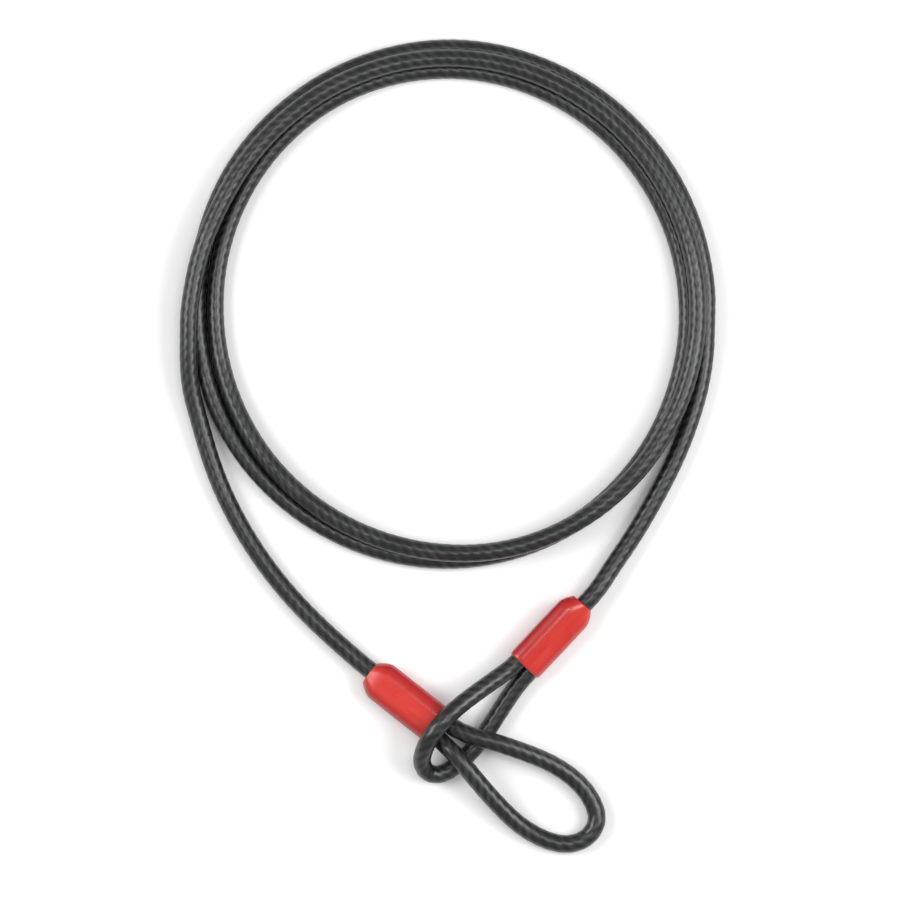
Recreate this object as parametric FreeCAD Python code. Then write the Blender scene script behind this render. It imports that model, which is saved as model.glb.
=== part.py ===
"""Loop security cable for a bicycle: a plastic-jacketed steel wire rope wound in a loose coil.

Each end is doubled back into an eye, crimped in an aluminium ferrule under a moulded cover, and the
left eye is threaded through the right one. Millimetres, +Z up, lying on the plane Z = 0. The origin
is the middle of the bottom of the bounding box, and +Y runs from the eyes to the coil.
"""

import FreeCAD
import Part
import math
import os

Vector = FreeCAD.Vector

# The cable and what it is made of
CABLE_D = 8.0
CABLE_R = CABLE_D / 2
JACKET_WALL = 1.5
JACKET_BORE_R = CABLE_R - JACKET_WALL
FIT = 0.05  # radial clearance of every piece that sits in another
ROPE_R = JACKET_BORE_R - FIT
STRAND_D = 1.6  # each of the rope's seven strands
STRAND_PITCH_R = ROPE_R - STRAND_D / 2
LAY_LENGTH = 36.0  # one turn of the outer strands round the king strand
OUTER_STRANDS = 6
STRAND_INSET = 0.4  # of each strand's ends, inside the ends of its ferrule
BODY_GAP = 0.6  # between two lengths of cable that bend at a joint

# Stations along an end fitting, from the cover's tail end to its mouth
COVER_LENGTH = 38.0
TAIL_BORE_DEPTH = 4.0
TAIL_JACKET_END = 3.5
FERRULE_START = 10.5
FERRULE_END = 28.0
LEG_JACKET_START = 35.2
MOUTH_SPLIT = 38.5

# Widths across an end fitting
COVER_WIDTH = 18.4
COVER_THICKNESS = 11.0
TAIL_TAPER = 7.0  # how far the cover takes to swell from its tail end to its full section
TAIL_END_WIDTH = 11.2
TAIL_END_THICKNESS = 9.6
TAIL_RIM_ROUND = 0.5
TAPER_SECTIONS = 7
MOUTH_ROUND = 1.2
FERRULE_WIDTH = 13.4
FERRULE_THICKNESS = 8.2
TAIL_OFFSET = 1.0  # the tail enters the cover this far off its middle
FERRULE_LEG = 2.75  # the two rope legs in the ferrule, each side of its middle
MOUTH_LEG = 4.05  # the two jacketed legs at the mouth
TAIL_LEAD = 9.0  # the last route point of a tail, ahead of the cover

# The coil: its middle, and its band's edges and height
COIL_CENTRE = Vector(0.9, 61.8, 0)
BAND_INNER_R = 101.1
BAND_OUTER_R = 119.0
BAND_HEIGHT = 14.7
STACK_ANGLE = 295.0  # where only two strands are left, one on the other
STACK_INNER_GAIN = 6.2
STACK_OUTER_LOSS = 3.6
STACK_HEIGHT_GAIN = 1.4
STACK_SHARPNESS = 7
BAND_ROUNDNESS = 2.2
BAND_SECTIONS = 24
SECTION_POINTS = 12

# End fittings: the middle of the tail end, then heading, climb and roll in degrees
LEFT_FITTING = FreeCAD.Placement(Vector(-34.6, -100.9, 5.7), FreeCAD.Rotation(-38.0, -6.2, 8.0))
RIGHT_FITTING = FreeCAD.Placement(Vector(59.7, -70.0, 7.6), FreeCAD.Rotation(-133.1, 0.0, -30.0))

# Routes of the cable's free stretches, from the coil to the cover
LEFT_LEAD_OUT = [
    (-115.0, 50.0, 9.5),
    (-115.2, 36.0, 9.0),
    (-114.2, 25.0, 7.4),
    (-111.4, 14.1, 5.9),
]
LEFT_TAIL = [
    (-105.2, -7.6, 4.6),
    (-98.1, -25.0, 4.2),
    (-88.2, -42.9, 4.1),
    (-76.2, -59.8, 4.1),
    (-61.5, -76.2, 4.3),
]
RIGHT_LEAD_OUT = [
    (115.0, 56.0, 4.2),
    (114.4, 38.0, 4.2),
    (110.6, 19.0, 4.1),
    (102.3, -4.0, 4.1),
]
RIGHT_TAIL = [
    (91.8, -24.3, 4.1),
    (82.6, -40.0, 4.3),
    (73.4, -53.2, 5.4),
]

# Eyes, from the upper leg's mouth round to the lower leg's mouth
LEFT_EYE = [
    (3.6, -125.8, 11.6),
    (12.0, -129.1, 12.8),
    (21.5, -131.4, 12.6),
    (33.5, -135.6, 10.4),
    (45.5, -140.6, 7.6),
    (56.2, -147.6, 5.2),
    (63.8, -156.4, 4.2),
    (67.2, -166.4, 4.1),
    (62.2, -174.8, 4.1),
    (52.6, -177.8, 4.1),
    (41.6, -174.8, 4.1),
    (30.4, -167.8, 5.0),
    (19.8, -156.8, 8.6),
    (10.6, -145.8, 12.3),
    (3.8, -137.4, 12.7),
    (-2.4, -131.4, 10.4),
]
RIGHT_EYE = [
    (27.0, -99.3, 10.0),
    (15.0, -107.5, 13.8),
    (4.6, -115.0, 18.4),
    (-2.0, -121.2, 20.6),
    (-7.5, -127.8, 20.3),
    (-10.5, -134.0, 16.4),
    (-12.0, -140.2, 10.6),
    (-9.2, -145.6, 6.4),
    (-3.0, -146.4, 4.3),
    (4.4, -141.8, 4.1),
    (11.4, -134.8, 4.1),
    (17.0, -127.6, 4.1),
    (23.6, -117.0, 4.2),
    (30.4, -106.8, 4.8),
]


def save(shape, node):
    """Writes one node, after testing that each of its solids is sound."""
    if not shape.Solids or not all(solid.isValid() for solid in shape.Solids):
        raise ValueError(f"{node} is not a sound solid")
    shape.exportStep(f"parts/{node}.step")


def vectors(route):
    return [Vector(*point) for point in route]


def unit(start, end):
    return (end - start).normalize()


def run_split(before, after):
    """The two ends of the gap in the middle of the run from before to after."""
    middle = (before + after) / 2
    half_gap = unit(before, after) * BODY_GAP / 2
    return middle - half_gap, middle + half_gap


def cable_path(points, name):
    """Straight runs joined by tangent arcs, each as large as its two runs allow."""
    edges = []
    radii = []
    start = points[0]
    for before, corner, after in zip(points, points[1:], points[2:]):
        incoming = unit(before, corner)
        outgoing = unit(corner, after)
        turn = incoming.getAngle(outgoing)
        reach = 0.45 * min((corner - before).Length, (after - corner).Length)
        radius = reach / math.tan(turn / 2)
        arc_start = corner - incoming * reach
        arc_end = corner + outgoing * reach
        inward = (outgoing - incoming).normalize()
        arc_middle = corner + inward * (radius / math.cos(turn / 2) - radius)
        edges.append(Part.LineSegment(start, arc_start).toShape())
        edges.append(Part.Arc(arc_start, arc_middle, arc_end).toShape())
        radii.append(radius)
        start = arc_end
    edges.append(Part.LineSegment(start, points[-1]).toShape())
    if name:
        listed = " ".join(f"{radius:.0f}" for radius in radii)
        print(f"{name}: radii {listed}")
    return Part.Wire(edges)


def tube(points, outer_r, inner_r=0.0, name=""):
    """A round bar or hollow tube along the points, its volume tested against its length."""
    path = cable_path(points, name)
    direction = unit(points[0], points[1])
    solids = []
    for radius in (outer_r, inner_r)[: 2 if inner_r else 1]:
        section = Part.Wire(Part.makeCircle(radius, points[0], direction))
        solids.append(path.makePipeShell([section], True, False))
    solid = solids[0].cut(solids[1]) if inner_r else solids[0]
    expected = math.pi * (outer_r**2 - inner_r**2) * path.Length
    if abs(solid.Volume / expected - 1) > 0.002:
        raise ValueError(f"{name} has volume {solid.Volume:.0f}, not {expected:.0f}")
    if name:
        print(f"{name}: length {path.Length:.1f}, volume {solid.Volume:.0f}")
    return solid


def oval_bar(width, thickness, start, end):
    """A bar along local X with a stadium section, wide along local Y."""
    round_r = thickness / 2
    half_flat = width / 2 - round_r
    middle_bar = Part.makeBox(
        end - start, 2 * half_flat, thickness, Vector(start, -half_flat, -round_r)
    )
    sides = [
        Part.makeCylinder(round_r, end - start, Vector(start, side * half_flat, 0), Vector(1, 0, 0))
        for side in (-1, 1)
    ]
    return middle_bar.fuse(sides).removeSplitter()


def rod(radius, start, end, offset):
    """A round rod along local X, offset along local Y."""
    return Part.makeCylinder(radius, end - start, Vector(start, offset, 0), Vector(1, 0, 0))


def edges_at(shape, station):
    """The edges of an oval bar's end outline at this station along local X."""
    return [
        edge
        for edge in shape.Edges
        if all(abs(vertex.X - station) < 1e-6 for vertex in edge.Vertexes)
    ]


def oval_outline(width, thickness, station):
    """The stadium outline of an oval bar, at this station along local X."""
    up = Vector(0, 0, thickness / 2)
    out = Vector(0, thickness / 2, 0)
    half_flat = (width - thickness) / 2
    left, right = Vector(station, -half_flat, 0), Vector(station, half_flat, 0)
    edges = [
        Part.makeLine(left + up, right + up),
        Part.Arc(right + up, right + out, right - up).toShape(),
        Part.makeLine(right - up, left - up),
        Part.Arc(left - up, left - out, left + up).toShape(),
    ]
    return Part.Wire(edges)


def tail_taper():
    """The cover's tail end, which swells smoothly to the cover's full section."""
    outlines = []
    for number in range(TAPER_SECTIONS):
        share = number / (TAPER_SECTIONS - 1)
        swell = math.sin(math.pi / 2 * share)
        width = TAIL_END_WIDTH + (COVER_WIDTH - TAIL_END_WIDTH) * swell
        thickness = TAIL_END_THICKNESS + (COVER_THICKNESS - TAIL_END_THICKNESS) * swell
        outlines.append(oval_outline(width, thickness, TAIL_TAPER * share))
    return Part.makeLoft(outlines, True)


def cover():
    """The moulded cover: a tapered oval shell with a bore for the tail and an open mouth."""
    body = oval_bar(COVER_WIDTH, COVER_THICKNESS, TAIL_TAPER, COVER_LENGTH).fuse(tail_taper())
    body = body.makeFillet(TAIL_RIM_ROUND, edges_at(body, 0))
    body = body.makeFillet(MOUTH_ROUND, edges_at(body, COVER_LENGTH))
    pocket_end = FERRULE_END + 2 * FIT
    pocket = oval_bar(
        FERRULE_WIDTH + 2 * FIT, FERRULE_THICKNESS + 2 * FIT, TAIL_BORE_DEPTH, pocket_end
    )
    mouth_width = 2 * (MOUTH_LEG + CABLE_R + FIT)
    mouth = oval_bar(mouth_width, CABLE_D + 2 * FIT, pocket_end, COVER_LENGTH)
    tail_bore = rod(CABLE_R + FIT, 0, TAIL_BORE_DEPTH, TAIL_OFFSET)
    return body.cut([pocket, mouth, tail_bore])


def ferrule():
    """The crimped oval ferrule with a bore for each rope leg."""
    body = oval_bar(FERRULE_WIDTH, FERRULE_THICKNESS, FERRULE_START, FERRULE_END)
    bores = [
        rod(JACKET_BORE_R, FERRULE_START, FERRULE_END, side * FERRULE_LEG) for side in (-1, 1)
    ]
    return body.cut(bores)


def outer_strands(offset):
    """The six outer strands of one rope leg, laid round the king strand inside the ferrule."""
    length = FERRULE_END - FERRULE_START - 2 * STRAND_INSET
    helix = Part.makeHelix(LAY_LENGTH, length, STRAND_PITCH_R)
    start = Vector(STRAND_PITCH_R, 0, 0)
    forward = Vector(0, 2 * math.pi * STRAND_PITCH_R, LAY_LENGTH)
    section = Part.Wire(Part.makeCircle(STRAND_D / 2 - FIT, start, forward))
    strand = Part.Wire(helix.Edges).makePipeShell([section], True, True)
    strands = []
    for number in range(OUTER_STRANDS):
        copy = strand.copy()
        copy.rotate(Vector(0, 0, 0), Vector(0, 0, 1), 360 / OUTER_STRANDS * number)
        copy.rotate(Vector(0, 0, 0), Vector(0, 1, 0), 90)
        copy.translate(Vector(FERRULE_START + STRAND_INSET, offset, 0))
        strands.append(copy)
    return Part.makeCompound(strands)


def king_strand(offset):
    start, end = FERRULE_START + STRAND_INSET, FERRULE_END - STRAND_INSET
    return rod(STRAND_D / 2 - FIT, start, end, offset)


def leg_points(fitting, side):
    """One leg from the ferrule to where it runs straight, out to its stretch at the mouth."""
    return [
        fitting.multVec(Vector(FERRULE_END, side * FERRULE_LEG, 0)),
        fitting.multVec(Vector(FERRULE_END + 2.5, side * FERRULE_LEG, 0)),
        fitting.multVec(Vector(FERRULE_END + 5.5, side * MOUTH_LEG, 0)),
    ]


def on_leg(fitting, station, side):
    return fitting.multVec(Vector(station, side * MOUTH_LEG, 0))


def tail_points(fitting, route):
    """A tail's free route, then its straight lead into the cover."""
    lead = fitting.multVec(Vector(-TAIL_LEAD, TAIL_OFFSET, 0))
    return vectors(route) + [lead]


def tail_nodes(side, fitting, start, route):
    """The jacket and the rope of a tail, from the joint at the coil to the end fitting."""
    free = [start] + tail_points(fitting, route)
    jacket_end = fitting.multVec(Vector(TAIL_JACKET_END, TAIL_OFFSET, 0))
    rope_end = [
        fitting.multVec(Vector(4.5, TAIL_OFFSET, 0)),
        fitting.multVec(Vector(8.0, FERRULE_LEG, 0)),
        fitting.multVec(Vector(FERRULE_START, FERRULE_LEG, 0)),
    ]
    jacket = tube(free + [jacket_end], CABLE_R, JACKET_BORE_R, f"{side}_tail_jacket")
    save(jacket, f"{side}_tail_jacket")
    save(tube(free + rope_end, ROPE_R, name=f"{side}_tail_rope"), f"{side}_tail_rope")


def fitting_nodes(side, fitting):
    """What holds an eye: the cover, the ferrule, and the strands of both rope legs in it."""
    pieces = {
        "cover": cover(),
        "ferrule": ferrule(),
        "standing_leg_king_strand": king_strand(FERRULE_LEG),
        "standing_leg_outer_strands": outer_strands(FERRULE_LEG),
        "dead_end_king_strand": king_strand(-FERRULE_LEG),
        "dead_end_outer_strands": outer_strands(-FERRULE_LEG),
    }
    for piece, shape in pieces.items():
        save(shape.transformed(fitting.toMatrix()), f"{side}_{piece}")


def left_eye_nodes():
    """The left eye bends at the mouth of its cover, so its legs' roots are pieces of their own."""
    half_gap = BODY_GAP / 2
    roots = {"jackets": [], "ropes": []}
    for side in (1, -1):
        root_end = on_leg(LEFT_FITTING, MOUTH_SPLIT - half_gap, side)
        jacket_start = on_leg(LEFT_FITTING, LEG_JACKET_START, side)
        jacket = tube([jacket_start, root_end], CABLE_R, JACKET_BORE_R)
        roots["jackets"].append(jacket)
        roots["ropes"].append(tube(leg_points(LEFT_FITTING, side) + [root_end], ROPE_R))
    save(Part.makeCompound(roots["jackets"]), "left_eye_root_jackets")
    save(Part.makeCompound(roots["ropes"]), "left_eye_root_ropes")
    loop = (
        [on_leg(LEFT_FITTING, MOUTH_SPLIT + half_gap, 1)]
        + vectors(LEFT_EYE)
        + [on_leg(LEFT_FITTING, MOUTH_SPLIT + half_gap, -1)]
    )
    save(tube(loop, CABLE_R, JACKET_BORE_R, "left_eye_jacket"), "left_eye_jacket")
    save(tube(loop, ROPE_R, name="left_eye_rope"), "left_eye_rope")


def right_eye_nodes():
    free_loop = (
        [on_leg(RIGHT_FITTING, MOUTH_SPLIT, -1)]
        + vectors(RIGHT_EYE)
        + [on_leg(RIGHT_FITTING, MOUTH_SPLIT, 1)]
    )
    jacket_loop = (
        [on_leg(RIGHT_FITTING, LEG_JACKET_START, -1)]
        + free_loop
        + [on_leg(RIGHT_FITTING, LEG_JACKET_START, 1)]
    )
    rope_loop = (
        leg_points(RIGHT_FITTING, -1)
        + free_loop
        + list(reversed(leg_points(RIGHT_FITTING, 1)))
    )
    save(tube(jacket_loop, CABLE_R, JACKET_BORE_R, "right_eye_jacket"), "right_eye_jacket")
    save(tube(rope_loop, ROPE_R, name="right_eye_rope"), "right_eye_rope")


def band_section(angle):
    """The coil's outline at this angle round it: wide over three strands, narrow over two."""
    from_stack = math.radians(angle - STACK_ANGLE)
    stacked = ((1 + math.cos(from_stack)) / 2) ** STACK_SHARPNESS
    inner = BAND_INNER_R + STACK_INNER_GAIN * stacked
    outer = BAND_OUTER_R - STACK_OUTER_LOSS * stacked
    half_height = (BAND_HEIGHT + STACK_HEIGHT_GAIN * stacked) / 2
    out = Vector(math.cos(math.radians(angle)), math.sin(math.radians(angle)), 0)
    points = []
    for number in range(SECTION_POINTS):
        turn = 2 * math.pi * (number + 0.5) / SECTION_POINTS
        across = math.copysign(abs(math.cos(turn)) ** (2 / BAND_ROUNDNESS), math.cos(turn))
        up = math.copysign(abs(math.sin(turn)) ** (2 / BAND_ROUNDNESS), math.sin(turn))
        radius = (inner + outer) / 2 + across * (outer - inner) / 2
        points.append(COIL_CENTRE + out * radius + Vector(0, 0, half_height * (1 + up)))
    outline = Part.BSplineCurve()
    outline.interpolate(Points=points, PeriodicFlag=True)
    return Part.Wire(outline.toShape())


def coil(left_end, right_end):
    """The coil as one closed solid, with the two lengths of cable that lead out of it."""
    sections = [band_section(360 / BAND_SECTIONS * number) for number in range(BAND_SECTIONS)]
    band = Part.makeLoft(sections, True, False, True)
    left_lead = tube(vectors(LEFT_LEAD_OUT) + [left_end], CABLE_R, name="left lead-out")
    right_lead = tube(vectors(RIGHT_LEAD_OUT) + [right_end], CABLE_R, name="right lead-out")
    print(f"coil band: volume {band.Volume:.0f}, valid {band.isValid()}")
    return band.fuse([left_lead, right_lead])


def main():
    os.makedirs("parts", exist_ok=True)
    left_splits = run_split(Vector(*LEFT_LEAD_OUT[-1]), Vector(*LEFT_TAIL[0]))
    right_splits = run_split(Vector(*RIGHT_LEAD_OUT[-1]), Vector(*RIGHT_TAIL[0]))
    save(coil(left_splits[0], right_splits[0]), "coil")
    tail_nodes("left", LEFT_FITTING, left_splits[1], LEFT_TAIL)
    tail_nodes("right", RIGHT_FITTING, right_splits[1], RIGHT_TAIL)
    fitting_nodes("left", LEFT_FITTING)
    fitting_nodes("right", RIGHT_FITTING)
    left_eye_nodes()
    right_eye_nodes()


main()
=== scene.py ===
"""Loop security cable for a bicycle: stranded steel rope in a smoky black jacket, wound in a coil.

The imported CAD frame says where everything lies. The cable's free length is one NURBS route from
ferrule to ferrule, each eye is another, and every length of jacket or rope follows a stretch of
one of them. Metres, +Z up, lying on the floor, with +Y from the eyes to the coil.
"""

import math

import bpy
import numpy as np
from mathutils import Matrix, Vector


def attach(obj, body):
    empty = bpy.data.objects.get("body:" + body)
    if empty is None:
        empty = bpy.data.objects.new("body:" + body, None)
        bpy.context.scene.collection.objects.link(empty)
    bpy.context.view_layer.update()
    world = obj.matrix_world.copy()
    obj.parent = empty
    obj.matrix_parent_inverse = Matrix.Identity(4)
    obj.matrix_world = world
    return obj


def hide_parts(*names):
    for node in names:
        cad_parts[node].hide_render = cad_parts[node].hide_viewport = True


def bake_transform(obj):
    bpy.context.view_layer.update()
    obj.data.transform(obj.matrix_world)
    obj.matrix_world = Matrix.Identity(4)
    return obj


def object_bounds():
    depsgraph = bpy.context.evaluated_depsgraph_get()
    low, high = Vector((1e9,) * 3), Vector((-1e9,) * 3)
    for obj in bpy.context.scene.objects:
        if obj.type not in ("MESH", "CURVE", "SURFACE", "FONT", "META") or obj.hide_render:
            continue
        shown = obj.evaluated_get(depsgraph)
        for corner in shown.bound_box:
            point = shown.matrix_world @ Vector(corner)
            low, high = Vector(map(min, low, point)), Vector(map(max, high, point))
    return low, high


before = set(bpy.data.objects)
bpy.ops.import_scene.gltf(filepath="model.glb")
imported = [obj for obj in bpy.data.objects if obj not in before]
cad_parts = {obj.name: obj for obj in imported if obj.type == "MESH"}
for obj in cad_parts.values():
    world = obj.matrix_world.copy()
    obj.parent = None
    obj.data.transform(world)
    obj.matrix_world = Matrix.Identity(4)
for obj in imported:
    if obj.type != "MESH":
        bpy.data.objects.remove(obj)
CAD_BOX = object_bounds()

# The cable
CABLE_R = 0.004
BORE_R = 0.0025  # inside its jacket
LAY_LENGTH = 0.030  # one turn of the outer strands round the king strand
OUTER_STRANDS = 6
STRAND_R = 0.00075
STRAND_PITCH_R = 0.00165
STRAND_SIDES = 8
JACKET_SIDES = 36  # points round a jacket, six over each outer strand
MAIN_RESOLUTION = 18  # points read along each span of a route
EYE_RESOLUTION = 12
LAY_DEPTH = 0.00008  # how far the jacket sinks between two outer strands

# Edges that turn by more degrees than this look sharp
CABLE_SHARP = 60.0
COVER_SHARP = 50.0
FRAME_SHARP = 40.0

# Stations along an end fitting from the cover's tail end, and offsets across it
COVER_LENGTH = 0.038
TAIL_BORE_DEPTH = 0.004
TAIL_JACKET_END = 0.0035
FERRULE_START = 0.0105
FERRULE_END = 0.028
LEG_JACKET_START = 0.0352
MOUTH_SPLIT = 0.0385
TAIL_LEAD = 0.009
TAIL_SPREAD = (0.0045, 0.0080)  # where the bare rope crosses over to its bore
LEG_SPREAD = (0.0305, 0.0335)  # where each leg spreads to its place in the mouth
TAIL_OFFSET = 0.001
FERRULE_LEG = 0.00275
MOUTH_LEG = 0.00405


def fitting(place, heading, climb, roll):
    """The axes of an end fitting: X from tail to eye, Y across its two legs."""
    turns = ((heading, "Z"), (climb, "Y"), (roll, "X"))
    axes = Matrix.Translation(place)
    for degrees, axis in turns:
        axes = axes @ Matrix.Rotation(math.radians(degrees), 4, axis)
    return axes


LEFT_FITTING = fitting((-0.0346, -0.1009, 0.0057), -38.0, -6.2, 8.0)
RIGHT_FITTING = fitting((0.0597, -0.0700, 0.0076), -133.1, 0.0, -30.0)

# Routes of the free stretches, from the coil to the covers
LEFT_LEAD_OUT = [
    (-0.1150, 0.0500, 0.0112),
    (-0.1152, 0.0360, 0.0096),
    (-0.1142, 0.0250, 0.0076),
    (-0.1114, 0.0141, 0.0059),
]
LEFT_TAIL = [
    (-0.1052, -0.0076, 0.0046),
    (-0.0981, -0.0250, 0.0042),
    (-0.0882, -0.0429, 0.0041),
    (-0.0762, -0.0598, 0.0041),
    (-0.0615, -0.0762, 0.0043),
]
RIGHT_LEAD_OUT = [
    (0.1150, 0.0560, 0.0042),
    (0.1144, 0.0380, 0.0042),
    (0.1106, 0.0190, 0.0041),
    (0.1023, -0.0040, 0.0041),
]
RIGHT_TAIL = [
    (0.0918, -0.0243, 0.0041),
    (0.0826, -0.0400, 0.0043),
    (0.0734, -0.0532, 0.0054),
]

# Eyes, from the upper leg's mouth round to the lower leg's mouth
LEFT_EYE = [
    (0.0036, -0.1258, 0.0116),
    (0.0120, -0.1291, 0.0128),
    (0.0215, -0.1314, 0.0126),
    (0.0335, -0.1356, 0.0104),
    (0.0455, -0.1406, 0.0076),
    (0.0562, -0.1476, 0.0052),
    (0.0638, -0.1564, 0.0042),
    (0.0672, -0.1664, 0.0041),
    (0.0622, -0.1748, 0.0041),
    (0.0526, -0.1778, 0.0041),
    (0.0416, -0.1748, 0.0041),
    (0.0304, -0.1678, 0.0050),
    (0.0198, -0.1568, 0.0086),
    (0.0106, -0.1458, 0.0123),
    (0.0038, -0.1374, 0.0127),
    (-0.0024, -0.1314, 0.0104),
]
RIGHT_EYE = [
    (0.0270, -0.0993, 0.0100),
    (0.0150, -0.1075, 0.0138),
    (0.0046, -0.1150, 0.0184),
    (-0.0020, -0.1212, 0.0206),
    (-0.0075, -0.1278, 0.0203),
    (-0.0105, -0.1340, 0.0164),
    (-0.0120, -0.1402, 0.0106),
    (-0.0092, -0.1456, 0.0064),
    (-0.0030, -0.1464, 0.0043),
    (0.0044, -0.1418, 0.0041),
    (0.0114, -0.1348, 0.0041),
    (0.0170, -0.1276, 0.0041),
    (0.0236, -0.1170, 0.0042),
    (0.0304, -0.1068, 0.0048),
]

# The coil, followed clockwise from the left lead-out: degrees turned, then radius or height
COIL_CENTRE = (0.0009, 0.0618)
COIL_START = 180.0  # direction of its first point from the centre
COIL_TURNED = 895.0
COIL_STEPS = 75
COIL_RADII = [
    (0, 0.1150), (5, 0.1145), (10, 0.1135), (16, 0.1122), (24, 0.1111), (40, 0.1106), (90, 0.1104),
    (120, 0.1093), (150, 0.1090), (180, 0.1099), (215, 0.1106), (245, 0.1110), (260, 0.1103),
    (280, 0.1083), (300, 0.1069), (340, 0.1048), (360, 0.1045), (420, 0.1060), (450, 0.1055),
    (480, 0.1043), (510, 0.1043), (540, 0.1056), (560, 0.1069), (600, 0.1112), (630, 0.1126),
    (690, 0.1131), (705, 0.11285), (720, 0.1126), (735, 0.1130), (750, 0.1139), (810, 0.1152),
    (840, 0.1142), (870, 0.1138), (895, 0.1141),
]
COIL_HEIGHTS = [
    (0, 0.0118), (10, 0.0122), (20, 0.0120), (30, 0.0116), (50, 0.0113), (90, 0.0107),
    (150, 0.0107), (180, 0.0110), (200, 0.0115), (220, 0.0121), (250, 0.0122), (260, 0.0120),
    (270, 0.0115), (290, 0.0104), (300, 0.0097), (310, 0.0089), (320, 0.0079), (330, 0.0066),
    (340, 0.0048), (350, 0.0041), (895, 0.0041),
]


def on_fitting(axes, station, offset):
    """A place on a fitting's middle plane."""
    return tuple(axes @ Vector((station, offset, 0)))


def coil_turns():
    """The coil's own route points, worked out turn by turn."""
    radii = np.array(COIL_RADII).T
    heights = np.array(COIL_HEIGHTS).T
    step = COIL_TURNED / COIL_STEPS
    outset = 1 / math.cos(math.radians(step / 2))  # the curve cuts inside its points
    points = []
    for number in range(COIL_STEPS + 1):
        turned = step * number
        angle = math.radians(COIL_START - turned)
        radius = np.interp(turned, *radii) * outset
        points.append(
            (
                COIL_CENTRE[0] + radius * math.cos(angle),
                COIL_CENTRE[1] + radius * math.sin(angle),
                np.interp(turned, *heights),
            )
        )
    return points


def tail_end(axes):
    """The tail's straight lead into its cover, then the bare rope to its ferrule bore."""
    stations = [
        (-TAIL_LEAD, TAIL_OFFSET),
        (TAIL_JACKET_END, TAIL_OFFSET),
        (TAIL_SPREAD[0], TAIL_OFFSET),
        (TAIL_SPREAD[1], FERRULE_LEG),
        (FERRULE_START, FERRULE_LEG),
    ]
    return [on_fitting(axes, *station) for station in stations]


def eye_leg(axes, side):
    """One leg of an eye, from its ferrule bore to the mouth of the cover."""
    stations = [
        (FERRULE_END, FERRULE_LEG),
        (LEG_SPREAD[0], FERRULE_LEG),
        (LEG_SPREAD[1], MOUTH_LEG),
        (MOUTH_SPLIT, MOUTH_LEG),
    ]
    return [on_fitting(axes, station, side * offset) for station, offset in stations]


class Line:
    """A cable's centreline read from its NURBS route, with axes carried along it untwisted."""

    def __init__(self, route, resolution):
        curve = bpy.data.curves.new("route", "CURVE")
        curve.dimensions = "3D"
        curve.resolution_u = resolution
        spline = curve.splines.new("NURBS")
        spline.points.add(len(route) - 1)
        for target, place in zip(spline.points, route):
            target.co = (*place, 1.0)
        spline.order_u = 3
        spline.use_endpoint_u = True
        mesh = bpy.data.meshes.new_from_object(bpy.data.objects.new("route", curve))
        self.points = np.array([vertex.co for vertex in mesh.vertices])
        bpy.data.meshes.remove(mesh)
        bpy.data.curves.remove(curve)
        steps = np.linalg.norm(np.diff(self.points, axis=0), axis=1)
        self.along = np.concatenate([[0.0], np.cumsum(steps)])
        tangents = np.gradient(self.points, axis=0)
        tangents /= np.linalg.norm(tangents, axis=1)[:, None]
        side = np.cross(tangents[0], (0.0, 0.0, 1.0))
        sides = []
        for tangent in tangents:
            side = side - tangent * (side @ tangent)
            side = side / np.linalg.norm(side)
            sides.append(side)
        self.sides = np.array(sides)
        self.ups = np.cross(tangents, self.sides)

    def nearest(self, place):
        """The index of the line's point nearest to the place."""
        return int(np.linalg.norm(self.points - np.array(place), axis=1).argmin())

    def rings(self, first, last, radii, offset=0.0, turn=0.0):
        """Rings of points round the line from first to last, turning with the rope's lay."""
        picked = slice(first, last + 1)
        lay = (2 * math.pi / LAY_LENGTH * self.along[picked])[:, None]
        side, up = self.sides[picked], self.ups[picked]
        middle = self.points[picked] + offset * (
            np.cos(lay + turn) * side + np.sin(lay + turn) * up
        )
        angles = lay + 2 * math.pi * np.arange(len(radii)) / len(radii)
        across, upward = np.cos(angles) * radii, np.sin(angles) * radii
        return (
            middle[:, None]
            + across[:, :, None] * side[:, None]
            + upward[:, :, None] * up[:, None]
        )


class Skin:
    """Closed surfaces over rings of points, with U round each ring and V along the rings."""

    def __init__(self):
        self.points, self.faces, self.uvs = [], [], []

    def add(self, rings, along, hollow):
        """Joins the rings into a skin: a hollow one runs on from its last ring to its first."""
        rows, columns = rings.shape[:2]
        start = sum(len(block) for block in self.points)
        self.points.append(rings.reshape(-1, 3))
        for row in range(rows if hollow else rows - 1):
            after = (row + 1) % rows
            for column in range(columns):
                beside = (column + 1) % columns
                self.faces.append(
                    [
                        start + row * columns + column,
                        start + row * columns + beside,
                        start + after * columns + beside,
                        start + after * columns + column,
                    ]
                )
                left, right = column / columns, (column + 1) / columns
                near, far = along[row], along[after]
                self.uvs += [(left, near), (right, near), (right, far), (left, far)]
        if not hollow:
            for row, order in ((0, -1), (rows - 1, 1)):
                cap = [start + row * columns + column for column in range(columns)]
                self.faces.append(cap[::order])
                self.uvs += [(column / columns, along[row]) for column in range(columns)][::order]

    def piece(self, name, material, slot, sharp=CABLE_SHARP):
        """The finished piece, in one material; its slot argument is not used."""
        mesh = bpy.data.meshes.new(name)
        mesh.from_pydata(np.concatenate(self.points).tolist(), [], self.faces)
        layer = mesh.uv_layers.new(name="Lay")
        layer.data.foreach_set("uv", np.array(self.uvs, np.float32).ravel())
        mesh.shade_smooth()
        mesh.set_sharp_from_angle(angle=math.radians(sharp))
        mesh.materials.append(material)
        made = bpy.data.objects.new(name, mesh)
        bpy.context.scene.collection.objects.link(made)
        return made


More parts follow.
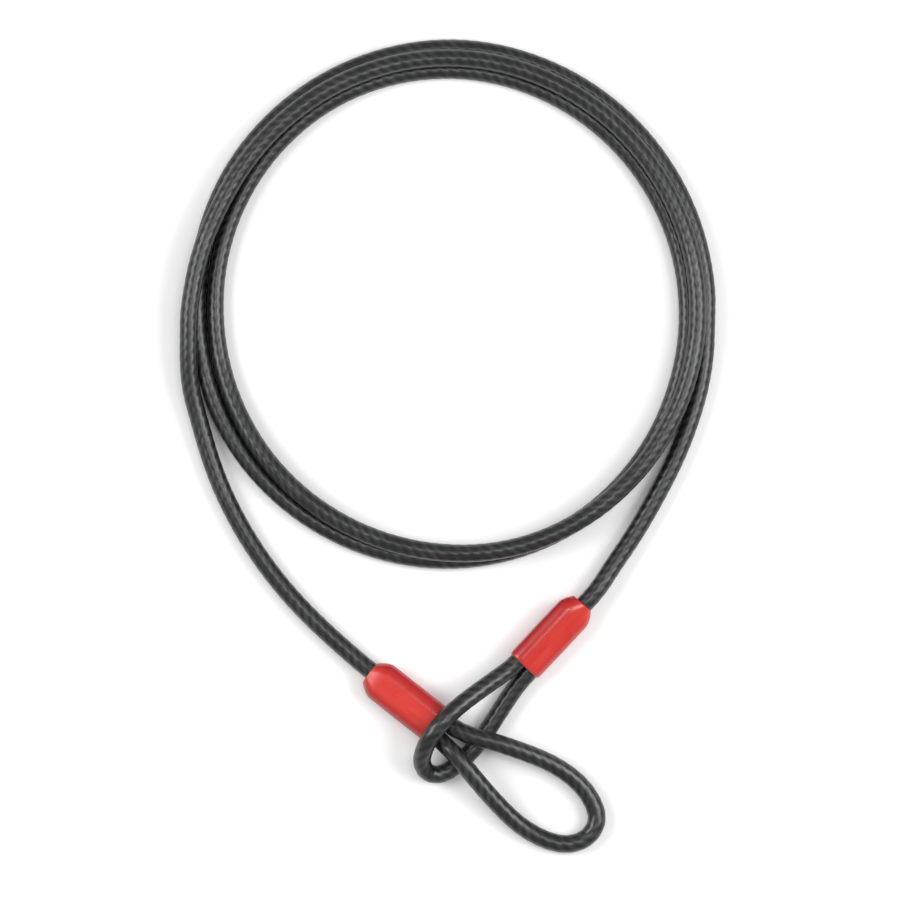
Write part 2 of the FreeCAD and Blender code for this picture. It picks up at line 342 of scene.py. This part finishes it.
def jacket(name, line, first, last, solid=False):
    """A length of jacket; solid, it stands for the rope in it too."""
    angles = 2 * math.pi * OUTER_STRANDS * np.arange(JACKET_SIDES) / JACKET_SIDES
    outside = CABLE_R - LAY_DEPTH * (1 + np.cos(angles)) / 2
    rings = line.rings(first, last, outside)
    along = line.along[first : last + 1] / LAY_LENGTH
    if not solid:
        inside = line.rings(first, last, np.full(JACKET_SIDES, BORE_R))
        rings = np.concatenate([rings, inside[::-1]])
        along = np.concatenate([along, along[::-1]])
    skin = Skin()
    skin.add(rings, along, hollow=not solid)
    return skin.piece(name, MATERIALS["cable_jacket"], "cable_jacket")


def rope(name, line, first, last):
    """A length of bare rope: a straight king strand with the outer strands laid round it."""
    skin = Skin()
    along = line.along[first : last + 1] / LAY_LENGTH
    radii = np.full(STRAND_SIDES, STRAND_R)
    skin.add(line.rings(first, last, radii), along, hollow=False)
    for number in range(OUTER_STRANDS):
        turn = 2 * math.pi * (number + 0.5) / OUTER_STRANDS
        skin.add(line.rings(first, last, radii, STRAND_PITCH_R, turn), along, hollow=False)
    return skin.piece(name, MATERIALS["rope_steel"], "rope_steel")


# Covers, in their fittings' axes
COVER_HALF_WIDTH = 0.0092
COVER_HALF_THICKNESS = 0.0055
TAIL_TAPER = 0.007  # how far the cover takes to swell from its tail end to its full section
TAIL_HALF_WIDTH = 0.0056
TAIL_HALF_THICKNESS = 0.0048
COVER_BARREL = 0.00012  # how much fuller the middle is than the ends
COVER_CROWN = 0.15  # how much each broad face falls away towards its sides
PARTING_LINE = 0.00009  # height of the ridge along each side
PARTING_HALF_ANGLE = 1.2  # degrees round the outline that it takes
RIM_ROUND = (0.0005, 0.0003)  # length along the cover and depth across it
MOUTH_ROUND = (0.0018, 0.0008)
LIP = ((0.00002, 0.0001), (0.00015, 0.000025), (0.0004, 0.0))  # depth in, and how far it opens
COVER_RINGS = 44
COVER_STEP = 5.0  # degrees between the points round it
BORE_FIT = 0.00006  # how much wider its bore is than the cable
POCKET = (0.00675, 0.00415)  # half width and half thickness of the space round the ferrule
POCKET_PLAY = 0.0001
MOUTH_OPENING = (0.0081, 0.00406)


def cover_directions():
    """Directions round a cover's outline, closer together at the parting line."""
    evenly = np.arange(0, 360, COVER_STEP)
    near = PARTING_HALF_ANGLE
    beside_line = [near, 180 - near, 180 + near, 360 - near]
    return np.radians(np.sort(np.concatenate([evenly, beside_line])))


def outline(half_width, half_thickness, crown=0.0, line=0.0, offset=0.0):
    """A stadium outline across a fitting, as points in its Y and Z."""
    directions = cover_directions()
    across, up = np.cos(directions), np.sin(directions)
    flat = half_width - half_thickness
    to_face = half_thickness / np.maximum(np.abs(up), 1e-9)
    chord = np.maximum(half_thickness**2 - (flat * up) ** 2, 0.0)
    to_side = flat * np.abs(across) + np.sqrt(chord)
    reach = np.where(to_face * np.abs(across) <= flat, to_face, to_side)
    reach = reach + line * (np.abs(up) < 1e-6)
    y, z = reach * across, reach * up
    return y + offset, z * (1 - crown * (y / half_width) ** 2)


def rounded_off(distance, length, depth):
    """What an elliptical round takes off, this far from the end that it rounds."""
    inside = max(0.0, 1 - distance / length)
    return depth * (1 - math.sqrt(1 - inside**2))


def cover_shell(name, axes):
    """A moulded cover: a domed tail end round the cable's bore, and a lipped mouth."""
    sections = []  # station, then the outline there
    for number in range(COVER_RINGS + 1):
        station = COVER_LENGTH * (1 - math.cos(math.pi * number / COVER_RINGS)) / 2
        to_mouth = COVER_LENGTH - station
        swell = math.sin(math.pi / 2 * min(station / TAIL_TAPER, 1.0))
        fullness = COVER_BARREL * (math.sin(math.pi * station / COVER_LENGTH) - 1)
        gain = fullness - rounded_off(station, *RIM_ROUND) - rounded_off(to_mouth, *MOUTH_ROUND)
        half_width = TAIL_HALF_WIDTH + (COVER_HALF_WIDTH - TAIL_HALF_WIDTH) * swell + gain
        half_thickness = (
            TAIL_HALF_THICKNESS + (COVER_HALF_THICKNESS - TAIL_HALF_THICKNESS) * swell + gain
        )
        shape = outline(half_width, half_thickness, COVER_CROWN, PARTING_LINE)
        sections.append((station, shape))
    bore = CABLE_R + BORE_FIT
    wide, thick = MOUTH_OPENING
    for depth, opened in LIP:
        sections.append((COVER_LENGTH - depth, outline(wide + opened, thick + opened)))
    sections += [
        (FERRULE_END + POCKET_PLAY, outline(wide, thick)),
        (FERRULE_END + POCKET_PLAY, outline(*POCKET)),
        (TAIL_BORE_DEPTH, outline(*POCKET)),
        (TAIL_BORE_DEPTH, outline(bore, bore, offset=TAIL_OFFSET)),
    ]
    for depth, opened in reversed(LIP):
        sections.append((depth, outline(bore + opened, bore + opened, offset=TAIL_OFFSET)))
    stations = np.array([station for station, _ in sections])
    rings = np.array(
        [np.stack([np.full_like(y, station), y, z], axis=1) for station, (y, z) in sections]
    )
    turn, place = np.array(axes)[:3, :3], np.array(axes)[:3, 3]
    skin = Skin()
    skin.add(rings @ turn.T + place, stations / COVER_LENGTH, hollow=True)
    return skin.piece(name, MATERIALS["cover_red"], "cover_red", COVER_SHARP)


# Colours, in pairs: a material lies between its two
JACKET_GROOVE, JACKET_CROWN = (0.0058, 0.0061, 0.0067, 1), (0.031, 0.032, 0.034, 1)
COVER_DEEP, COVER_BRIGHT = (0.525, 0.021, 0.014, 1), (0.590, 0.034, 0.023, 1)
# The first of these two is painted shade: the cover's red, darkened towards its sides.
COVER_SIDE_SHADE, COVER_WORN = (0.370, 0.010, 0.010, 1), (0.62, 0.10, 0.075, 1)
ALUMINIUM_DULL, ALUMINIUM_BRIGHT = (0.66, 0.67, 0.69, 1), (0.83, 0.84, 0.85, 1)
STEEL_DARK, STEEL_BRIGHT = (0.20, 0.20, 0.21, 1), (0.68, 0.69, 0.71, 1)
FLOOR_DULL, FLOOR_BRIGHT = (0.88, 0.88, 0.88, 1), (0.90, 0.90, 0.90, 1)

JACKET_WIRES = 42  # round the cable, as they show through its jacket
STRAND_WIRES = 12  # round a strand


def add_node(tree, kind, inputs=None, **settings):
    """A new node, its inputs set to values or linked to sockets."""
    made = tree.nodes.new(kind)
    for setting, value in settings.items():
        setattr(made, setting, value)
    for socket, value in (inputs or {}).items():
        if isinstance(value, bpy.types.NodeSocket):
            tree.links.new(value, made.inputs[socket])
        else:
            made.inputs[socket].default_value = value
    return made


class Shader:
    """A Principled material built from procedural nodes."""

    def __init__(self, name, constants):
        self.material = bpy.data.materials.new(name)
        self.material.use_nodes = True
        self.tree = self.material.node_tree
        self.surface = self.tree.nodes["Principled BSDF"]
        for socket, value in constants.items():
            self.surface.inputs[socket].default_value = value
        self.place = add_node(self.tree, "ShaderNodeTexCoord").outputs["Object"]

    def calculate(self, operation, first, second=0.0, third=0.0):
        inputs = {0: first, 1: second, 2: third}
        return add_node(self.tree, "ShaderNodeMath", inputs, operation=operation).outputs[0]

    def noise(self, scale=1.0, detail=3.0, place=None, roughness=0.5):
        """Fine noise, by place on the object unless another place is given."""
        inputs = {
            "Vector": self.place if place is None else place,
            "Scale": scale,
            "Detail": detail,
            "Roughness": roughness,
        }
        return add_node(self.tree, "ShaderNodeTexNoise", inputs).outputs["Fac"]

    def remap(self, value, span, to=(0.0, 1.0)):
        """The value within its span, taken smoothly to another range."""
        inputs = {0: value, 1: span[0], 2: span[1], 3: to[0], 4: to[1]}
        made = add_node(self.tree, "ShaderNodeMapRange", inputs, interpolation_type="SMOOTHSTEP")
        return made.outputs[0]

    def blend(self, share, first, second):
        """A colour from first at share 0 to second at share 1."""
        inputs = {"Factor": share, 6: first, 7: second}
        return add_node(self.tree, "ShaderNodeMix", inputs, data_type="RGBA").outputs[2]

    def lay(self):
        """U round the piece and V along it."""
        uv = add_node(self.tree, "ShaderNodeUVMap", uv_map="Lay").outputs[0]
        parts = add_node(self.tree, "ShaderNodeSeparateXYZ", {0: uv}).outputs
        return parts[0], parts[1]

    def stretched(self, around, turns, along, lengths):
        """A texture's place, from U and V each stretched by its own factor."""
        inputs = {
            0: self.calculate("MULTIPLY", around, turns),
            1: self.calculate("MULTIPLY", along, lengths),
        }
        return add_node(self.tree, "ShaderNodeCombineXYZ", inputs).outputs[0]

    def ripples(self, value, number):
        """So many ripples to each unit of the value, from 0 in the grooves to 0.5 on the crowns."""
        return self.calculate("PINGPONG", self.calculate("MULTIPLY", value, float(number)), 0.5)

    def bump(self, height, depth, strength=1.0, below=None):
        inputs = {"Height": height, "Distance": depth, "Strength": strength}
        if below is not None:
            inputs["Normal"] = below
        return add_node(self.tree, "ShaderNodeBump", inputs).outputs[0]

    def feed(self, **sockets):
        for name, value in sockets.items():
            self.tree.links.new(value, self.surface.inputs[name.replace("_", " ")])
        return self.material


def jacket_material():
    """Smoky PVC: the outer strands show through it, with dark grooves between them."""
    shader = Shader(
        "smoky PVC jacket",
        {"IOR": 1.5, "Coat Weight": 0.15, "Coat Roughness": 0.26, "Coat IOR": 1.5},
    )
    around, along = shader.lay()
    crown = shader.remap(shader.ripples(around, OUTER_STRANDS), (0.08, 0.44))
    straight = shader.calculate("ADD", around, along)
    wires = shader.remap(shader.ripples(straight, JACKET_WIRES), (0.0, 0.5), to=(0.72, 1.0))
    smoke = shader.remap(shader.noise(scale=90.0), (0.36, 0.64), to=(0.20, 1.0))
    shown = shader.calculate("MULTIPLY", shader.calculate("MULTIPLY", crown, wires), smoke)
    colour = shader.blend(shown, JACKET_GROOVE, JACKET_CROWN)
    streaks = shader.noise(place=shader.stretched(straight, 30.0, along, 1.5))
    grain = shader.noise(scale=1400.0, detail=2.0)
    scratches = shader.noise(scale=95.0, detail=4.0, roughness=0.65)
    rubbed = shader.remap(scratches, (0.60, 0.72), to=(0.0, 0.10))
    drawn = shader.remap(streaks, (0.3, 0.7), to=(0.28, 0.39))
    drawn_lines = shader.bump(streaks, depth=0.00004)
    return shader.feed(
        Base_Color=colour,
        Roughness=shader.calculate("ADD", drawn, rubbed),
        Normal=shader.bump(grain, depth=0.00002, below=drawn_lines),
    )


def cover_material():
    """Glossy red moulded plastic, darkened towards its sides by painted shade, and paler where its
    ends are rubbed.
    """
    shader = Shader(
        "glossy red cover",
        {"IOR": 1.5, "Coat Weight": 0.15, "Coat Roughness": 0.08, "Coat IOR": 1.5},
    )
    around, along = shader.lay()
    flow = shader.noise(place=shader.stretched(around, 9.0, along, 2.0))
    pigment = shader.remap(flow, (0.3, 0.7))
    face = shader.blend(pigment, COVER_DEEP, COVER_BRIGHT)
    # Painted shade: the red is darkened towards each side of the cover, round its parting line.
    turned = shader.calculate("COSINE", shader.calculate("MULTIPLY", around, 2 * math.pi))
    side = shader.remap(shader.calculate("ABSOLUTE", turned), (0.40, 0.95))
    red = shader.blend(side, face, COVER_SIDE_SHADE)
    from_middle = shader.calculate("ABSOLUTE", shader.calculate("SUBTRACT", along, 0.5))
    ends = shader.remap(from_middle, (0.42, 0.5))
    specks = shader.noise(scale=420.0, detail=4.0, roughness=0.7)
    wear = shader.calculate("MULTIPLY", ends, shader.remap(specks, (0.52, 0.66)))
    colour = shader.blend(shader.calculate("MULTIPLY", wear, 0.25), red, COVER_WORN)
    polish = shader.remap(shader.noise(scale=160.0), (0.3, 0.7), to=(0.24, 0.34))
    roughness = shader.calculate("MULTIPLY_ADD", wear, 0.2, polish)
    sink = shader.bump(shader.noise(scale=170.0, detail=1.0), depth=0.00012, strength=0.35)
    grain = shader.noise(scale=2600.0, detail=1.0)
    return shader.feed(
        Base_Color=colour,
        Roughness=roughness,
        Normal=shader.bump(grain, depth=0.00001, below=sink),
    )


def aluminium_material():
    """Pressed aluminium, satin, with the press's scuffs."""
    shader = Shader("pressed aluminium", {"Metallic": 1.0})
    cloud = shader.noise(scale=260.0, detail=4.0)
    scuffs = shader.remap(shader.noise(scale=900.0, detail=5.0, roughness=0.75), (0.48, 0.62))
    return shader.feed(
        Base_Color=shader.blend(cloud, ALUMINIUM_DULL, ALUMINIUM_BRIGHT),
        Roughness=shader.calculate("MULTIPLY_ADD", scuffs, 0.16, 0.30),
        Normal=shader.bump(scuffs, depth=0.00003, strength=0.5),
    )


def strand_material(name, wire_pattern):
    """Galvanised steel strands, with their fine wires as thin bright and dark lines."""
    shader = Shader(name, {"Metallic": 1.0})
    wires = wire_pattern(shader)
    dull = shader.noise(scale=700.0, detail=4.0, roughness=0.7)
    lit = shader.calculate("MULTIPLY", wires, shader.remap(dull, (0.3, 0.7), to=(0.65, 1.0)))
    return shader.feed(
        Base_Color=shader.blend(lit, STEEL_DARK, STEEL_BRIGHT),
        Roughness=shader.remap(dull, (0.3, 0.7), to=(0.24, 0.42)),
        Normal=shader.bump(wires, depth=0.00004),
    )


def wires_round_strand(shader):
    """The wires round each strand, turning slowly along it."""
    around, along = shader.lay()
    turned = shader.calculate("MULTIPLY_ADD", along, 2.0, around)
    return shader.remap(shader.ripples(turned, STRAND_WIRES), (0.0, 0.4))


def wires_by_place(shader):
    """Wires in the ferrules, as fine bands through space."""
    inputs = {"Vector": shader.place, "Scale": 900.0, "Distortion": 1.5, "Detail": 2.0}
    bands = add_node(shader.tree, "ShaderNodeTexWave", inputs, bands_direction="DIAGONAL")
    return bands.outputs["Fac"]


def floor_material():
    """A matt, pale sheet."""
    shader = Shader("pale floor", {"Specular IOR Level": 0.2})
    tone = shader.noise(scale=3.0, detail=2.0)
    return shader.feed(
        Base_Color=shader.blend(tone, FLOOR_DULL, FLOOR_BRIGHT),
        Roughness=shader.remap(tone, (0.2, 0.8), to=(0.75, 0.85)),
    )


MATERIALS = {
    "cable_jacket": jacket_material(),
    "cover_red": cover_material(),
    "ferrule_metal": aluminium_material(),
    "rope_steel": strand_material("steel rope", wires_round_strand),
}
STRANDS_IN_FERRULES = strand_material("steel strands", wires_by_place)


def main_line():
    """From the left ferrule round the coil to the right ferrule."""
    left = LEFT_LEAD_OUT + LEFT_TAIL + tail_end(LEFT_FITTING)
    right = RIGHT_LEAD_OUT + RIGHT_TAIL + tail_end(RIGHT_FITTING)
    return Line(left[::-1] + coil_turns() + right, MAIN_RESOLUTION)


def eye_line(axes, points, upper):
    """From one ferrule bore round an eye to the other; upper is the side it starts on."""
    return Line(eye_leg(axes, upper) + points + eye_leg(axes, -upper)[::-1], EYE_RESOLUTION)


def place_between(before, after):
    """The middle of the gap between two places."""
    return tuple((np.array(before) + np.array(after)) / 2)


def tail_pieces(side, line, first, last, jacket_end):
    """A tail's jacket and rope, which bend from the coil to the end fitting."""
    low, high = sorted((first, jacket_end))
    cable = jacket(f"{side}_tail_cable", line, low, high)
    strands = rope(f"{side}_tail_strands", line, *sorted((first, last)))
    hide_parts(f"{side}_tail_jacket")
    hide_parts(f"{side}_tail_rope")
    for piece in (cable, strands):
        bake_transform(piece)


def eye_pieces(side, line, axes, upper):
    """An eye's jacket, from mouth to mouth of its cover, and its rope, from bore to bore."""
    ends = [
        line.nearest(on_fitting(axes, LEG_JACKET_START, leg * MOUTH_LEG)) for leg in (upper, -upper)
    ]
    cable = jacket(f"{side}_eye_cable", line, *ends)
    strands = rope(f"{side}_eye_strands", line, 0, len(line.points) - 1)
    return cable, strands


def build_cable():
    """The coil and both tails, all on one line."""
    line = main_line()
    left_split = line.nearest(place_between(LEFT_LEAD_OUT[-1], LEFT_TAIL[0]))
    right_split = line.nearest(place_between(RIGHT_LEAD_OUT[-1], RIGHT_TAIL[0]))
    coil = jacket("coil_cable", line, left_split, right_split, solid=True)
    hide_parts("coil")
    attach(coil, "coil")
    for side, axes, split, last in (
        ("left", LEFT_FITTING, left_split, 0),
        ("right", RIGHT_FITTING, right_split, len(line.points) - 1),
    ):
        jacket_end = line.nearest(on_fitting(axes, TAIL_JACKET_END, TAIL_OFFSET))
        tail_pieces(side, line, split, last, jacket_end)


def build_eyes():
    """The left eye bends at its cover's mouth; the right one is held still by its own."""
    left_line = eye_line(LEFT_FITTING, LEFT_EYE, 1)
    cable, strands = eye_pieces("left", left_line, LEFT_FITTING, 1)
    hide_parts("left_eye_jacket", "left_eye_root_jackets")
    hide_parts("left_eye_rope", "left_eye_root_ropes")
    for piece in (cable, strands):
        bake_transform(piece)
    right_line = eye_line(RIGHT_FITTING, RIGHT_EYE, -1)
    cable, strands = eye_pieces("right", right_line, RIGHT_FITTING, -1)
    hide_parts("right_eye_jacket")
    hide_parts("right_eye_rope")
    for piece in (cable, strands):
        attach(piece, "ends")


def build_fittings():
    """The two moulded covers; what they hold is the frame's own."""
    for side, axes in (("left", LEFT_FITTING), ("right", RIGHT_FITTING)):
        shell = cover_shell(f"{side}_cover_shell", axes)
        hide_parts(f"{side}_cover")
        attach(shell, "ends")


def paint_frame():
    """Gives the CAD nodes that stay their finishes."""
    for name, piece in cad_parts.items():
        finish = None
        if name.endswith("ferrule"):
            finish = MATERIALS["ferrule_metal"]
        elif name.endswith("strand") or name.endswith("strands"):
            finish = STRANDS_IN_FERRULES
        if finish:
            piece.data.materials.clear()
            piece.data.materials.append(finish)
            piece.data.shade_smooth()
            piece.data.set_sharp_from_angle(angle=math.radians(FRAME_SHARP))


# The camera looks straight down, and takes in this much of the floor
VIEW_CENTRE = (0.0009, -0.0018, 0.006)
VIEW_WIDTH = 0.400
LENS = 200.0
SENSOR = 36.0

# The studio
FLOOR_SIZE = 12.0
FLOOR_GAP = 0.0001
WORLD_BRIGHTNESS = 0.45
SOFTBOXES = {  # place, size and radiance
    "left softbox": ((-1.05, 0.20, 1.05), 0.8, 6.5),
    "right softbox": ((1.00, 0.05, 1.05), 0.8, 6.5),
    "overhead softbox": ((0.22, 0.08, 1.50), 0.5, 5.0),
}


def build_camera():
    camera = bpy.data.objects.new("camera", bpy.data.cameras.new("camera"))
    camera.data.lens = LENS
    camera.data.sensor_width = SENSOR
    camera.location = Vector(VIEW_CENTRE) + Vector((0, 0, VIEW_WIDTH * LENS / SENSOR))
    bpy.context.scene.collection.objects.link(camera)
    bpy.context.scene.camera = camera
    bpy.context.scene.view_settings.view_transform = "Standard"


def softbox(name, place, size, radiance):
    """A square area light of even brightness, facing the origin."""
    light = bpy.data.lights.new(name, "AREA")
    light.shape = "SQUARE"
    light.size = size
    light.energy = radiance * math.pi * size**2
    box = bpy.data.objects.new(name, light)
    box.location = place
    box.rotation_euler = (-Vector(place)).to_track_quat("-Z", "Y").to_euler()
    bpy.context.scene.collection.objects.link(box)


def build_studio():
    half = FLOOR_SIZE / 2
    level = CAD_BOX[0].z - FLOOR_GAP
    corners = [(-half, -half, level), (half, -half, level), (half, half, level), (-half, half, level)]
    mesh = bpy.data.meshes.new("floor")
    mesh.from_pydata(corners, [], [(0, 1, 2, 3)])
    mesh.materials.append(floor_material())
    floor = bpy.data.objects.new("floor", mesh)
    bpy.context.scene.collection.objects.link(floor)

    world = bpy.data.worlds.new("studio")
    world.use_nodes = True
    world.node_tree.nodes["Background"].inputs["Color"].default_value = (1.0, 1.0, 1.0, 1)
    world.node_tree.nodes["Background"].inputs["Strength"].default_value = WORLD_BRIGHTNESS
    bpy.context.scene.world = world
    for name, (place, size, radiance) in SOFTBOXES.items():
        softbox(name, place, size, radiance)


build_camera()
build_cable()
build_eyes()
build_fittings()
paint_frame()
build_studio()
